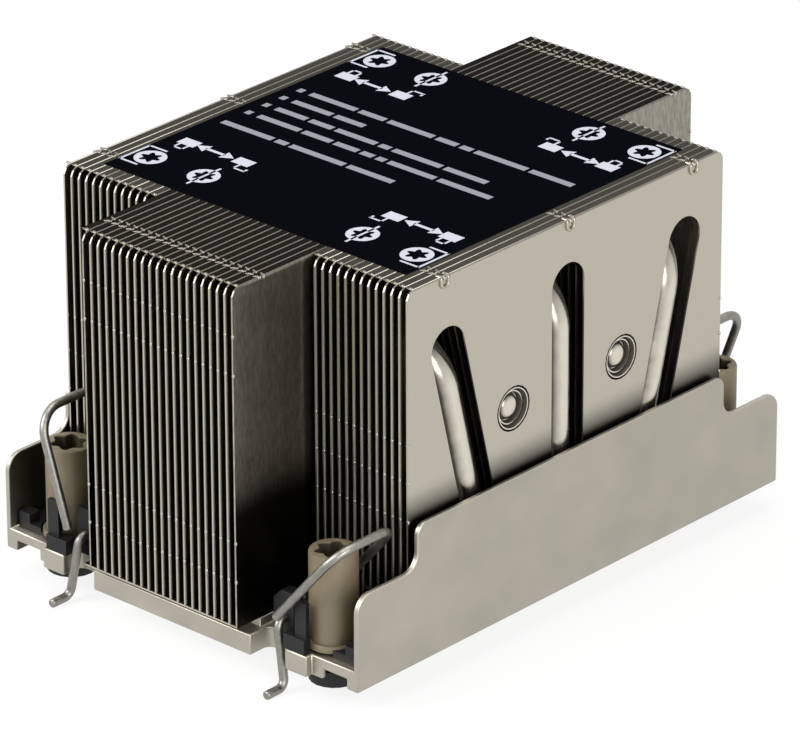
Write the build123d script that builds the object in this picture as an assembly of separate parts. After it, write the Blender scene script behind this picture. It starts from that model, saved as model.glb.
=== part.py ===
"""Passive server processor heatsink: a nickel-plated cast base with two side flanges, five heat pipes,
a pack of folded fins, four captive nuts and four anti-tilt wires in plastic holders.

Units are millimetres. X runs across the fins, Y along the air flow and Z up.
The origin is the centre of the flat underside that rests on the processor.
"""
from build123d import *
from math import atan2, cos, degrees, radians, sin, tan
import os

# Overall form
HEIGHT = 64.0
FIN_PITCH = 1.62
FIN_THICKNESS = 0.3
LONG_FIN_COUNT = 21
SIDE_FIN_COUNT = 13
LONG_HALF_X = FIN_PITCH * (LONG_FIN_COUNT - 1) / 2
STACK_HALF_X = LONG_HALF_X + FIN_PITCH * SIDE_FIN_COUNT + FIN_THICKNESS / 2

# Captive nuts: half of their spacing along Y, and their own sizes
NUT_Y = 46.4
NUT_RADIUS = 4.0
NUT_TOP = 20.3
NUT_BOTTOM = -2.2
NUT_NECK_INSET = 0.9
NUT_COLLAR_STEP = 0.6
NUT_COLLAR_HEIGHT = 1.2
NUT_COLLAR_GAP = 0.3
NUT_NECK_GAP = 0.3
NUT_THREAD_RADIUS = 1.65
NUT_THREAD_DEPTH = 12.0
NUT_SIDES = 20
SOCKET_WALL = 1.25
SOCKET_LOBE_DEPTH = 0.75
SOCKET_DEPTH = 4.5
RING_STEP = 0.2
RING_HEIGHT = 2.6
RING_SEAT_GAP = 0.02
RECESS_GAP = 0.6
NUT_NECK_RADIUS = NUT_RADIUS - NUT_NECK_INSET
NUT_COLLAR_RADIUS = NUT_RADIUS + NUT_COLLAR_STEP
SOCKET_RADIUS = NUT_RADIUS - SOCKET_WALL
RING_OUTER_RADIUS = NUT_RADIUS + RING_STEP
RECESS_RADIUS = RING_OUTER_RADIUS + RECESS_GAP

# Copper contact plate let into the underside
CONTACT_HALF_X = 31.0
CONTACT_HALF_Y = 26.0
CONTACT_THICKNESS = 1.7
SEAT_GAP = 0.02

# Heat pipes: their section, and where the long runs lie below the top of the fins
PIPE_RADIUS = 3.0
PIPE_SIDES = 16
PIPE_BEND_RADIUS = 9.0
PIPE_BEND_STEPS = 6
PIPE_LEG_INSET = 3.51
PIPE_FLAT_THICKNESS = 3.3
PIPE_FLAT_WIDTH = 7.5
PIPE_FLAT_PITCH = 8.4
PIPE_FLAT_CHAMFER = 2.2
PIPE_FLAT_COVER = 0.1
PIPE_HOLE_GAP = 0.1
PIPE_GROOVE_GAP = 0.1
PIPE_TIP_CHAMFER = 1.2
PIPE_TIP_DEPTH = 0.6
OUTER_PIPE_INSET = 9.45
OUTER_PIPE_DROP = 12.9
CENTRE_PIPE_DROP = 11.5
RETURN_PIPE_SHARE = 0.458
RETURN_PIPE_DROP = 28.5
SLOT_RADIUS = 3.9
SLOT_SIDES = 8
TIP_HOLE_RADIUS = 3.9
TIP_HOLE_SIDES = 20
PIPE_LEG_X = STACK_HALF_X - PIPE_LEG_INSET
PIPE_END_X = STACK_HALF_X - PIPE_TIP_DEPTH
BOW_START_X = PIPE_LEG_X - PIPE_BEND_RADIUS
PIPE_FLAT_BOTTOM = CONTACT_THICKNESS
PIPE_FLAT_MID = PIPE_FLAT_BOTTOM + PIPE_FLAT_THICKNESS / 2

# Base casting
PAD_STEP = 1.5
PAD_HEIGHT = PIPE_FLAT_BOTTOM + PIPE_FLAT_THICKNESS + PIPE_FLAT_COVER
PLATE_THICKNESS = PAD_HEIGHT - PAD_STEP
RECESS_DEPTH = PLATE_THICKNESS / 2
STRIP_MARGIN_X = 1.2
STRIP_HALF_X = LONG_HALF_X + STRIP_MARGIN_X
EAR_MARGIN_Y = 0.4
EAR_INNER_STEP = 2.8
EAR_BOSS_STEP = 1.4
EAR_BOSS_WIDTH = 4.6
EAR_CORNER_RADIUS = 1.4
EAR_CORNER_STEPS = 3
EAR_NOTCH_WIDTH = 5.2
STRIP_END_STEP = 0.3
PAD_INSET_FROM_STRIP = 3.2
PAD_SIDE_MARGIN = 0.4

# Side flanges
FLANGE_TO_FINS = 0.69
FLANGE_THICKNESS = 0.9
FLANGE_LOW_HEIGHT = 16.6
FLANGE_TALL_RISE = 7.6
FLANGE_TALL_INSET = 0.55
FLANGE_END_RADIUS = 3.0
FLANGE_STEP_RADIUS = 2.0
FLANGE_INNER_RADIUS = 3.0
FLANGE_FOOT_WIDTH = 2.4
FLANGE_INNER_X = STACK_HALF_X + FLANGE_TO_FINS
FLANGE_OUTER_X = FLANGE_INNER_X + FLANGE_THICKNESS
FLANGE_HALF_Y = NUT_Y + RECESS_RADIUS + EAR_MARGIN_Y
FLANGE_TALL_HEIGHT = FLANGE_LOW_HEIGHT + FLANGE_TALL_RISE
EAR_INNER_HALF_Y = FLANGE_HALF_Y - EAR_INNER_STEP
EAR_BOSS_HALF_Y = FLANGE_HALF_Y + EAR_BOSS_STEP
STRIP_HALF_Y = EAR_BOSS_HALF_Y + STRIP_END_STEP

# Plastic holders for the wires
HOLDER_PLATE_HEIGHT = 1.3
HOLDER_TO_FLANGE = 0.7
HOLDER_FRONT_REACH = 3.8
HOLDER_REAR_WALL = 0.95
HOLDER_NUT_GAP = 0.35
NUT_OFFSET_X = 1.45
BEARING_NUT_GAP = 0.25
BEARING_WIDTH = 4.3
BEARING_HEIGHT = 8.2
BEARING_DEPTH = 2.3
BEARING_SLOPE = 1.6
BEARING_GAP = 0.08
BEARING_SIDES = 8
REAR_BEARING_HEIGHT = 5.6
FRONT_STEP_OFFSET = 2.1
FRONT_STEP_WIDTH = 4.5
FRONT_STEP_HEIGHT = 2.6
FRONT_STEP_INSET = 0.2
GUARD_WIDTH = 2.4
GUARD_HEIGHT = 8.8
GUARD_THICKNESS = 0.9
GUARD_NUT_GAP = 0.4
STOP_SIZE = 2.4
STOP_HEIGHT = 3.0
REAR_HOOK_OFFSET = 1.6
REAR_HOOK_WIDTH = 2.2
REAR_HOOK_HEIGHT = 8.6
REAR_HOOK_THICKNESS = 0.8
HOLDER_HOLE_RADIUS = NUT_COLLAR_RADIUS + HOLDER_NUT_GAP
NUT_X = (STRIP_HALF_X + FLANGE_INNER_X) / 2 + NUT_OFFSET_X
HOLDER_INNER_X = NUT_X - HOLDER_HOLE_RADIUS - BEARING_NUT_GAP - BEARING_WIDTH
HOLDER_OUTER_X = FLANGE_INNER_X - HOLDER_TO_FLANGE
HOLDER_FRONT_Y = NUT_Y + HOLDER_FRONT_REACH
HOLDER_REAR_Y = NUT_Y - HOLDER_HOLE_RADIUS - HOLDER_REAR_WALL
REAR_HOOK_X = NUT_X + REAR_HOOK_OFFSET

# Anti-tilt wires, drawn for the corner at +X and -Y
WIRE_RADIUS = 0.75
WIRE_SIDES = 8
WIRE_BEND_RADIUS = 1.5
WIRE_BEND_STEPS = 3
WIRE_TOP_RADIUS = 4.6
WIRE_TOP_STEPS = 4
WIRE_AXIS_INSET = 2.3
WIRE_AXIS_RISE = 3.7
WIRE_OVER_NUT = 9.0
WIRE_LEVER_REACH = 2.0
WIRE_REAR_GAP = 1.1
WIRE_FOOT_REACH = 0.2
WIRE_FOOT_LENGTH = 11.4
WIRE_TOE_LENGTH = 4.4
WIRE_FREE_END = 2.0
WIRE_AXIS_X = HOLDER_INNER_X + WIRE_AXIS_INSET
WIRE_AXIS_Z = PLATE_THICKNESS + WIRE_AXIS_RISE
WIRE_LEVER_LENGTH = NUT_TOP - WIRE_AXIS_Z + WIRE_OVER_NUT
WIRE_LEVER_Y = FLANGE_HALF_Y + WIRE_LEVER_REACH
WIRE_REAR_Y = HOLDER_REAR_Y - WIRE_REAR_GAP
WIRE_FOOT_Y = FLANGE_HALF_Y + WIRE_FOOT_REACH
EAR_BOSS_TO_AXIS = 2.6
EAR_BOSS_START_X = WIRE_AXIS_X + EAR_BOSS_TO_AXIS
FRONT_STEP_X = WIRE_AXIS_X + FRONT_STEP_OFFSET
FRONT_STEP_Y = EAR_BOSS_HALF_Y - FRONT_STEP_INSET

# At rest, how far each wire's lever and foot lean outward, in degrees
WIRE_LEVER_LEAN = {"front_right": 40.5, "front_left": 18.0, "back_right": 20.0, "back_left": 22.0}
WIRE_FOOT_LEAN = {"front_right": 7.0, "front_left": 12.0, "back_right": 12.0, "back_left": 12.0}

# Fins and label: the side fins end short of the holders, the long fins reach past the base
SIDE_FIN_TO_HOLDER = 2.45
LONG_FIN_OVERHANG = 1.8
FIN_CORNER_RADIUS = 2.0
FIN_CORNER_STEPS = 3
FOLD_THICKNESS = 0.3
FOLD_GAP = 0.02
LABEL_MARGIN_X = 4.61
LABEL_MARGIN_Y = 4.85
LABEL_THICKNESS = 0.15
SINGLE_SIDE_FINS = 5
SIDE_HALF_Y = HOLDER_REAR_Y - SIDE_FIN_TO_HOLDER
LONG_HALF_Y = STRIP_HALF_Y + LONG_FIN_OVERHANG
FLANGE_TALL_HALF_Y = SIDE_HALF_Y - FLANGE_TALL_INSET
OUTER_TOP_Y = SIDE_HALF_Y - OUTER_PIPE_INSET
OUTER_TOP_Z = HEIGHT - OUTER_PIPE_DROP
CENTRE_TOP_Z = HEIGHT - CENTRE_PIPE_DROP
RETURN_TOP_Y = OUTER_TOP_Y * RETURN_PIPE_SHARE
RETURN_TOP_Z = HEIGHT - RETURN_PIPE_DROP

CORNERS = {"front_right": (1, -1), "front_left": (-1, -1), "back_right": (1, 1), "back_left": (-1, 1)}

# Each pipe: the side its leg stands on, the leg's foot and top along Y, and the height of its long run
PIPES = {
    "heat_pipe_1": (1, -2 * PIPE_FLAT_PITCH, -OUTER_TOP_Y, OUTER_TOP_Z),
    "heat_pipe_2": (-1, -PIPE_FLAT_PITCH, -RETURN_TOP_Y, RETURN_TOP_Z),
    "heat_pipe_3": (1, 0.0, 0.0, CENTRE_TOP_Z),
    "heat_pipe_4": (-1, PIPE_FLAT_PITCH, RETURN_TOP_Y, RETURN_TOP_Z),
    "heat_pipe_5": (1, 2 * PIPE_FLAT_PITCH, OUTER_TOP_Y, OUTER_TOP_Z),
}


def block(x0, x1, y0, y1, z0, z1):
    """A box between two values along each axis."""
    return Pos(x0, y0, z0) * Box(x1 - x0, y1 - y0, z1 - z0, align=(Align.MIN, Align.MIN, Align.MIN))


def upright(radius, z0, z1, x=0.0, y=0.0, hole=False):
    """A round column along Z in few flat sides; a hole's sides stand off by the full radius."""
    return Pos(x, y, z0) * extrude(RegularPolygon(radius, NUT_SIDES, major_radius=not hole), z1 - z0)


def rounded(corners, radii, steps):
    """The corners of a line, each with a radius given as a few points round its true arc."""
    points = [corners[0]]
    for before, corner, after, radius in zip(corners, corners[1:], corners[2:], radii):
        into = (corner - before).normalized()
        out = (after - corner).normalized()
        turn = radians(into.get_angle(out))
        centre = corner + (out - into).normalized() * (radius / cos(turn / 2))
        spoke = (corner - into * (radius * tan(turn / 2)) - centre).normalized()
        reach = radius / cos(turn / steps / 2)
        for number in range(steps):
            angle = turn * (number + 0.5) / steps
            points.append(centre + spoke * (reach * cos(angle)) + into * (reach * sin(angle)))
    return points + [corners[-1]]


def place_in_corner(shape, corner):
    """Mirror a shape drawn for the front right corner into another corner."""
    side_x, side_y = CORNERS[corner]
    if side_x < 0:
        shape = mirror(shape, about=Plane.YZ)
    if side_y > 0:
        shape = mirror(shape, about=Plane.XZ)
    return shape


# Base casting

def base_outline():
    """One quarter of the plan, mirrored into the whole outline."""
    boss_end_x = EAR_BOSS_START_X + EAR_BOSS_WIDTH
    inlet = rounded([Vector(STRIP_HALF_X, -STRIP_HALF_Y), Vector(STRIP_HALF_X, -EAR_INNER_HALF_Y),
                     Vector(EAR_BOSS_START_X, -EAR_INNER_HALF_Y), Vector(EAR_BOSS_START_X, -EAR_BOSS_HALF_Y)],
                    [EAR_CORNER_RADIUS, EAR_CORNER_RADIUS], EAR_CORNER_STEPS)
    quarter = make_face(Polyline(
        (0, 0), (0, -STRIP_HALF_Y), *inlet, (boss_end_x, -EAR_BOSS_HALF_Y), (boss_end_x, -FLANGE_HALF_Y),
        (FLANGE_OUTER_X, -FLANGE_HALF_Y), (FLANGE_OUTER_X, 0), close=True))
    half = quarter + mirror(quarter, about=Plane.YZ)
    return half + mirror(half, about=Plane.XZ)


def flange_profile():
    """The flange's side view in Y and Z, with a tall middle and rounded corners."""
    half = make_face(Polyline(
        (0, 0), (FLANGE_HALF_Y, 0), (FLANGE_HALF_Y, FLANGE_LOW_HEIGHT),
        (FLANGE_TALL_HALF_Y, FLANGE_LOW_HEIGHT), (FLANGE_TALL_HALF_Y, FLANGE_TALL_HEIGHT),
        (0, FLANGE_TALL_HEIGHT), close=True))
    for y, z, radius in ((FLANGE_TALL_HALF_Y, FLANGE_TALL_HEIGHT, FLANGE_STEP_RADIUS),
                         (FLANGE_TALL_HALF_Y, FLANGE_LOW_HEIGHT, FLANGE_INNER_RADIUS),
                         (FLANGE_HALF_Y, FLANGE_LOW_HEIGHT, FLANGE_END_RADIUS)):
        half = fillet(half.vertices().sort_by_distance((y, z, 0))[0], radius)
    return half + mirror(half, about=Plane.YZ)


def ear_cuts(corner):
    """The round recess under an ear, open to the end, and the hole for the nut's neck."""
    cut = upright(RECESS_RADIUS, 0, RECESS_DEPTH, NUT_X, -NUT_Y, hole=True)
    foot_x = FLANGE_OUTER_X - FLANGE_FOOT_WIDTH
    cut += block(foot_x - EAR_NOTCH_WIDTH, foot_x, -FLANGE_HALF_Y, -NUT_Y, 0, RECESS_DEPTH)
    cut += upright(NUT_NECK_RADIUS + NUT_NECK_GAP, 0, PLATE_THICKNESS, NUT_X, -NUT_Y, hole=True)
    return place_in_corner(cut, corner)


def base_casting():
    """Plate, pads, ears and flanges in one piece, with grooves for the pipes and a pocket below."""
    body = extrude(base_outline(), PLATE_THICKNESS)
    pad_half_x = LONG_HALF_X + PAD_SIDE_MARGIN
    pad_half_y = STRIP_HALF_Y - PAD_INSET_FROM_STRIP
    body += block(-pad_half_x, pad_half_x, -pad_half_y, pad_half_y, 0, PAD_HEIGHT)
    side_half_y = SIDE_HALF_Y - PAD_SIDE_MARGIN
    body += block(-FLANGE_INNER_X, FLANGE_INNER_X, -side_half_y, side_half_y, 0, PAD_HEIGHT)
    sheet = extrude(Plane.YZ * flange_profile(), FLANGE_THICKNESS)
    body += [Pos(FLANGE_INNER_X, 0, 0) * sheet, Pos(-FLANGE_OUTER_X, 0, 0) * sheet]
    body -= block(-CONTACT_HALF_X, CONTACT_HALF_X, -CONTACT_HALF_Y, CONTACT_HALF_Y, 0, CONTACT_THICKNESS)
    groove_half = PIPE_FLAT_WIDTH / 2 + PIPE_GROOVE_GAP
    for _, y_foot, _, _ in PIPES.values():
        body -= block(-FLANGE_INNER_X, FLANGE_INNER_X, y_foot - groove_half, y_foot + groove_half,
                      PIPE_FLAT_BOTTOM, PAD_HEIGHT)
    for corner in CORNERS:
        body -= ear_cuts(corner)
    return body


def contact_plate():
    """The copper plate that touches the processor, level with the underside."""
    half_x = CONTACT_HALF_X - SEAT_GAP
    half_y = CONTACT_HALF_Y - SEAT_GAP
    return block(-half_x, half_x, -half_y, half_y, 0, CONTACT_THICKNESS)


# Heat pipes

def heat_pipe(side, y_foot, y_top, z_top):
    """A flattened run in the base, a leg that fans out, a bend, and a long run through the fins."""
    path = Polyline(*rounded(
        [Vector(side * PIPE_LEG_X, y_foot, PIPE_FLAT_MID), Vector(side * PIPE_LEG_X, y_top, z_top),
         Vector(-side * PIPE_END_X, y_top, z_top)], [PIPE_BEND_RADIUS], PIPE_BEND_STEPS))
    section = Plane(path @ 0, z_dir=path % 0) * RegularPolygon(PIPE_RADIUS, PIPE_SIDES)
    tube = sweep(section, path=path, transition=Transition.RIGHT)
    tip = tube.faces().sort_by(Axis.X)[0 if side > 0 else -1]
    tube = chamfer(tip.edges(), PIPE_TIP_CHAMFER)
    plan = Rectangle(2 * PIPE_LEG_X + PIPE_FLAT_WIDTH, PIPE_FLAT_WIDTH)
    flat = extrude(chamfer(plan.vertices(), PIPE_FLAT_CHAMFER), PIPE_FLAT_THICKNESS)
    return tube + Pos(0, y_foot, PIPE_FLAT_BOTTOM) * flat


# Fins

def fin_face(half):
    """A fin's flat outline in Y and Z, with rounded upper corners."""
    return make_face(Polyline(*rounded(
        [Vector(-half, PAD_HEIGHT), Vector(-half, HEIGHT), Vector(half, HEIGHT), Vector(half, PAD_HEIGHT)],
        [FIN_CORNER_RADIUS, FIN_CORNER_RADIUS], FIN_CORNER_STEPS), close=True))


def pipe_hole(y, z):
    """A square hole that clears a pipe's long run, used where other fins hide it."""
    width = 2 * (PIPE_RADIUS + PIPE_HOLE_GAP)
    return Pos(y, z) * Rectangle(width, width)


def pipe_slot(y_foot, y_top, z_top, in_view):
    """A slot open at the foot that lets a pipe's leg rise; its top is a full arc where it is in view."""
    z_low = PAD_HEIGHT - 2 * SLOT_RADIUS
    y_low = y_foot + (y_top - y_foot) * (z_low - PIPE_FLAT_MID) / (z_top - PIPE_FLAT_MID)
    run = Vector(y_top - y_low, z_top - z_low)
    across = Vector(run.Y, -run.X).normalized() * SLOT_RADIUS
    low = Vector(y_low, z_low)
    high = Vector(y_top, z_top)
    sides = make_face(Polyline(low - across, low + across, high + across, high - across, close=True))
    if in_view:
        return sides + Pos(high) * Circle(SLOT_RADIUS)
    lean = degrees(atan2(run.Y, run.X)) + 180 / SLOT_SIDES
    return sides + Pos(high) * RegularPolygon(SLOT_RADIUS, SLOT_SIDES, major_radius=False, rotation=lean)


def openings(side, beside_leg, outermost):
    """The cuts that one fin needs for the five pipes."""
    cuts = []
    for pipe_side, y_foot, y_top, z_top in PIPES.values():
        if beside_leg and side == pipe_side:
            cuts.append(pipe_slot(y_foot, y_top, z_top, outermost))
        elif outermost:
            cuts.append(Pos(y_top, z_top) * RegularPolygon(TIP_HOLE_RADIUS, TIP_HOLE_SIDES))
        else:
            cuts.append(pipe_hole(y_top, z_top))
    return cuts


def fin(half, cuts, folded=True):
    """A thin sheet across X with strips folded towards -X along its top and its foot."""
    body = extrude(Plane.YZ * (fin_face(half) - cuts), FIN_THICKNESS / 2, both=True)
    if not folded:
        return body
    reach = FIN_PITCH - FIN_THICKNESS / 2 - FOLD_GAP
    top_half = half - FIN_CORNER_RADIUS * (1 - tan(radians(45 / FIN_CORNER_STEPS)))
    foot = block(-reach, 0, -half, half, PAD_HEIGHT, PAD_HEIGHT + FOLD_THICKNESS)
    open_cuts = [cut for cut in cuts if cut.bounding_box().min.Y < PAD_HEIGHT]
    for cut in open_cuts:
        foot -= extrude(Plane.YZ * cut, -FIN_PITCH)
    return body + block(-reach, 0, -top_half, top_half, HEIGHT - FOLD_THICKNESS, HEIGHT) + foot


def long_fins():
    """The middle fins, all alike, one solid for each name."""
    shape = fin(LONG_HALF_Y, openings(0, False, False))
    return {f"fin_middle_{number + 1:02d}": Pos(FIN_PITCH * number - LONG_HALF_X, 0, 0) * shape
            for number in range(LONG_FIN_COUNT)}


def side_fins(side, word):
    """One side's fins counted outward; those no eye can tell apart share a name as a group."""
    plain = fin(SIDE_HALF_Y, openings(side, False, False))
    slotted = fin(SIDE_HALF_Y, openings(side, True, False))
    last = fin(SIDE_HALF_Y, openings(side, True, True), folded=side > 0)
    groups = {}
    for number in range(1, SIDE_FIN_COUNT + 1):
        x = side * (LONG_HALF_X + FIN_PITCH * number)
        if number == SIDE_FIN_COUNT:
            shape, name = last, f"fin_{word}_{number:02d}"
        elif abs(x) < BOW_START_X:
            shape, name = plain, f"fin_group_{word}_inner"
        elif number <= SIDE_FIN_COUNT - SINGLE_SIDE_FINS:
            shape, name = slotted, f"fin_group_{word}_middle"
        else:
            shape, name = slotted, f"fin_{word}_{number:02d}"
        groups.setdefault(name, []).append(Pos(x, 0, 0) * shape)
    return {name: shapes[0] if len(shapes) == 1 else Compound(children=shapes)
            for name, shapes in groups.items()}


def label():
    """The thin sheet stuck on top of the fins."""
    half_x = STACK_HALF_X - LABEL_MARGIN_X
    half_y = SIDE_HALF_Y - LABEL_MARGIN_Y
    return block(-half_x, half_x, -half_y, half_y, HEIGHT, HEIGHT + LABEL_THICKNESS)


# Captive nuts

def nut():
    """A tall nut with a six-lobe socket on top, a collar above the ear and a blind thread below."""
    collar_z = PLATE_THICKNESS + NUT_COLLAR_GAP
    body = upright(NUT_NECK_RADIUS, NUT_BOTTOM, collar_z)
    body += upright(NUT_COLLAR_RADIUS, collar_z, collar_z + NUT_COLLAR_HEIGHT)
    body += upright(NUT_RADIUS, collar_z, NUT_TOP)
    body -= Pos(0, 0, NUT_BOTTOM) * Cylinder(NUT_THREAD_RADIUS, NUT_THREAD_DEPTH,
                                             align=(Align.CENTER, Align.CENTER, Align.MIN))
    lobes = [Vector(SOCKET_RADIUS - SOCKET_LOBE_DEPTH * (number % 2), 0).rotate(Axis.Z, 30 * number)
             for number in range(12)]
    body -= Pos(0, 0, NUT_TOP - SOCKET_DEPTH) * extrude(make_face(Polyline(*lobes, close=True)), SOCKET_DEPTH)
    return Pos(NUT_X, -NUT_Y, 0) * body


def nut_ring():
    """The black ring under the ear that keeps the nut from lifting out."""
    top = NUT_BOTTOM + RING_HEIGHT
    ring = upright(RING_OUTER_RADIUS, NUT_BOTTOM, top)
    ring -= upright(NUT_NECK_RADIUS + RING_SEAT_GAP, NUT_BOTTOM, top)
    return Pos(NUT_X, -NUT_Y, 0) * ring


# Anti-tilt wires

def wire(lever_lean, foot_lean):
    """Toe, foot, axle, rear leg, top bar and front leg, which ends free just above the axle."""
    def around_axle(distance, lean, y):
        turned = Vector(0, 0, distance).rotate(Axis.Y, lean)
        return Vector(WIRE_AXIS_X + turned.X, -y, WIRE_AXIS_Z + turned.Z)

    down = 180 - foot_lean
    middle = around_axle(WIRE_LEVER_LENGTH / 2, lever_lean, WIRE_REAR_Y)
    foot = [around_axle(WIRE_FOOT_LENGTH, down, WIRE_FOOT_Y + WIRE_TOE_LENGTH),
            around_axle(WIRE_FOOT_LENGTH, down, WIRE_FOOT_Y),
            around_axle(0, 0, WIRE_FOOT_Y),
            around_axle(0, 0, WIRE_REAR_Y), middle]
    bail = [middle,
            around_axle(WIRE_LEVER_LENGTH, lever_lean, WIRE_REAR_Y),
            around_axle(WIRE_LEVER_LENGTH, lever_lean, WIRE_LEVER_Y),
            around_axle(WIRE_FREE_END, lever_lean, WIRE_LEVER_Y)]
    path = Polyline(*rounded(foot, [WIRE_BEND_RADIUS] * 3, WIRE_BEND_STEPS)[:-1],
                    *rounded(bail, [WIRE_TOP_RADIUS] * 2, WIRE_TOP_STEPS)[1:])
    section = Plane(path @ 0, z_dir=path % 0) * RegularPolygon(WIRE_RADIUS, WIRE_SIDES)
    return sweep(section, path=path, transition=Transition.RIGHT)


# Plastic holders

def holder():
    """A plate round the nut's collar with two bearings, a guard, a step, a stop and a rear hook."""
    z0 = PLATE_THICKNESS
    z_plate = z0 + HOLDER_PLATE_HEIGHT
    body = block(HOLDER_INNER_X, HOLDER_OUTER_X, -HOLDER_FRONT_Y, -HOLDER_REAR_Y, z0, z_plate)
    body += block(HOLDER_OUTER_X - STOP_SIZE, HOLDER_OUTER_X, -HOLDER_FRONT_Y, STOP_SIZE - HOLDER_FRONT_Y,
                  z0, z0 + STOP_HEIGHT)
    body += bearing(-HOLDER_FRONT_Y, BEARING_HEIGHT)
    body += bearing(-HOLDER_REAR_Y - BEARING_DEPTH, REAR_BEARING_HEIGHT)
    body += block(FRONT_STEP_X, FRONT_STEP_X + FRONT_STEP_WIDTH, -FRONT_STEP_Y, -HOLDER_FRONT_Y,
                  z0, z0 + FRONT_STEP_HEIGHT)
    guard_y = NUT_Y + NUT_COLLAR_RADIUS + GUARD_NUT_GAP
    guard_x = FRONT_STEP_X + FRONT_STEP_WIDTH - GUARD_WIDTH
    body += block(guard_x, guard_x + GUARD_WIDTH, -guard_y - GUARD_THICKNESS, -guard_y, z0, z0 + GUARD_HEIGHT)
    body += block(REAR_HOOK_X, REAR_HOOK_X + REAR_HOOK_WIDTH, -HOLDER_REAR_Y - REAR_HOOK_THICKNESS,
                  -HOLDER_REAR_Y, z0, z0 + REAR_HOOK_HEIGHT)
    body -= upright(HOLDER_HOLE_RADIUS, z0, z0 + REAR_HOOK_HEIGHT, NUT_X, -NUT_Y, hole=True)
    bore = RegularPolygon(WIRE_RADIUS + BEARING_GAP, BEARING_SIDES, major_radius=False)
    axle = Pos(WIRE_AXIS_X, 0, WIRE_AXIS_Z) * extrude(Plane.XZ * bore, FLANGE_HALF_Y)
    return body - axle


def bearing(y, height):
    """A post with a sloped inner top; the axle runs through it."""
    x0 = HOLDER_INNER_X
    x1 = x0 + BEARING_WIDTH
    z0 = PLATE_THICKNESS
    z1 = z0 + height
    profile = make_face(Polyline(
        (x0, z0), (x1, z0), (x1, z1), (x0 + BEARING_SLOPE, z1), (x0, z1 - BEARING_SLOPE), close=True))
    return extrude(Plane.XZ.offset(-y) * profile, -BEARING_DEPTH)


def build():
    parts = {"base_casting": base_casting(), "contact_plate": contact_plate(), "label": label()}
    for name, shape in PIPES.items():
        parts[name] = heat_pipe(*shape)
    parts.update(long_fins())
    parts.update(side_fins(1, "right"))
    parts.update(side_fins(-1, "left"))
    for corner in CORNERS:
        parts[f"nut_{corner}"] = place_in_corner(nut(), corner)
        parts[f"nut_ring_{corner}"] = place_in_corner(nut_ring(), corner)
        bent = wire(WIRE_LEVER_LEAN[corner], WIRE_FOOT_LEAN[corner])
        parts[f"wire_{corner}"] = place_in_corner(bent, corner)
        parts[f"wire_holder_{corner}"] = place_in_corner(holder(), corner)
    return parts


if __name__ == "__main__":
    os.makedirs("parts", exist_ok=True)
    for name, shape in build().items():
        export_step(shape, f"parts/{name}.step")
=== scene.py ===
import math

import bmesh
import bpy
from bpy.props import FloatProperty, FloatVectorProperty, IntProperty, PointerProperty
from mathutils import Matrix, Vector


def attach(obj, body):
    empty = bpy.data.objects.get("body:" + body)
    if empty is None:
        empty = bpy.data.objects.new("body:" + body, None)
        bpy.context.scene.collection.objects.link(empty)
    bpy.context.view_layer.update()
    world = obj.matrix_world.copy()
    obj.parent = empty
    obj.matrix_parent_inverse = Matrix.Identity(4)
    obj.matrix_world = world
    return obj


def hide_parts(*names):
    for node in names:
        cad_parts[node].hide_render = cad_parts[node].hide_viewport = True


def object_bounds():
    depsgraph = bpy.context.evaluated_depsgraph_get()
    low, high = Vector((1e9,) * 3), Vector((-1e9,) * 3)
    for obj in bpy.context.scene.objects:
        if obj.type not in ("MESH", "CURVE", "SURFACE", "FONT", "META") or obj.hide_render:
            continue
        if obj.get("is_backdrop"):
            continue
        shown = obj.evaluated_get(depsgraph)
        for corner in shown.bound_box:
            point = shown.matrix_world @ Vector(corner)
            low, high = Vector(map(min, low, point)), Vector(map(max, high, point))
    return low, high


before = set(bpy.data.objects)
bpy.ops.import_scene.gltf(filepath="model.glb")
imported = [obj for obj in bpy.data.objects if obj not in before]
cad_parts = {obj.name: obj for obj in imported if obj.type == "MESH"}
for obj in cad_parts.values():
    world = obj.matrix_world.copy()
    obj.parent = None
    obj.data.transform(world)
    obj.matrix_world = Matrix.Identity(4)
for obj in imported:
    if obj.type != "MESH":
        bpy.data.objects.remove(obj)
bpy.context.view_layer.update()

bl_info = {
    "name": "Passive Processor Heatsink",
    "version": (1, 0, 0),
    "blender": (4, 5, 0),
    "location": "View3D > Sidebar > Heatsink",
    "description": "Dresses a passive server heatsink with plated metal, moulded plastic and its studio",
    "category": "Object",
}

MM = 0.001
# Each corner's side across and along
CORNERS = {"front_right": (1, -1), "front_left": (-1, -1), "back_right": (1, 1), "back_left": (-1, 1)}
# How far each wire's lever and foot lean outward at rest, in degrees
LEVER_LEAN = {"front_right": 40.5, "front_left": 18.0, "back_right": 20.0, "back_left": 22.0}
FOOT_LEAN = {"front_right": 7.0, "front_left": 12.0, "back_right": 12.0, "back_left": 12.0}

# The other sizes of the pieces, all in millimetres

# Each pipe's side, its leg's foot and top along Y, and the height of its long run
PIPES = {"heat_pipe_1": (1, -16.8, -28.6, 51.1), "heat_pipe_2": (-1, -8.4, -13.1, 35.5),
         "heat_pipe_3": (1, 0.0, 0.0, 52.5), "heat_pipe_4": (-1, 8.4, 13.1, 35.5),
         "heat_pipe_5": (1, 16.8, 28.6, 51.1)}
# Bottom, top and half width of the flattened runs, how far out the pipes end, and the length of their tips
FLAT_LOW, FLAT_HIGH, FLAT_HALF, PIPE_END, TIP_LENGTH = 1.7, 5.0, 3.75, 36.81, 1.2
# Distance on from the rim and radius of each ring of a pipe's closed tip
TIP_RINGS = ((0.95, 3.0), (1.15, 2.88), (1.15, 2.68), (0.95, 2.55), (0.3, 2.4), (0.22, 2.25), (0.6, 2.12),
             (0.95, 1.85), (1.15, 1.3), (1.2, 0.6))
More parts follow.
